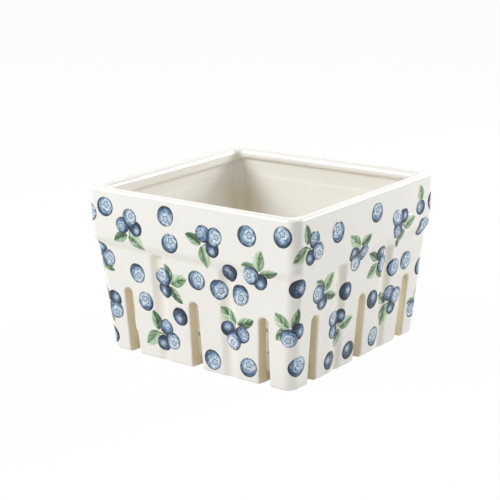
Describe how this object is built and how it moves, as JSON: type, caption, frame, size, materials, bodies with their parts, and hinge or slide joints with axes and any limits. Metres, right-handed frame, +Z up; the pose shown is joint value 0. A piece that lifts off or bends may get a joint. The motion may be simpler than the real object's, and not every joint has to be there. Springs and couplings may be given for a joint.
{
  "type": "berry colander bowl",
  "caption": "Square ceramic berry basket with leaning slotted walls, a raised band, a rolled lip and a drained floor.",
  "frame": {"origin": "middle of the foot, on the surface that the bowl stands on", "axes": "+Z up out of the bowl, +X along its longer side, and the front looks along -Y"},
  "size_m": [0.108, 0.1016, 0.0711],
  "materials": {
    "glaze": "gloss"
  },
  "bodies": {
    "root": {"floor": "glaze", "front_wall": "glaze", "back_wall": "glaze", "left_wall": "glaze", "right_wall": "glaze", "rim_band": "glaze", "rim_lip": "glaze"}
  },
  "joints": []
}
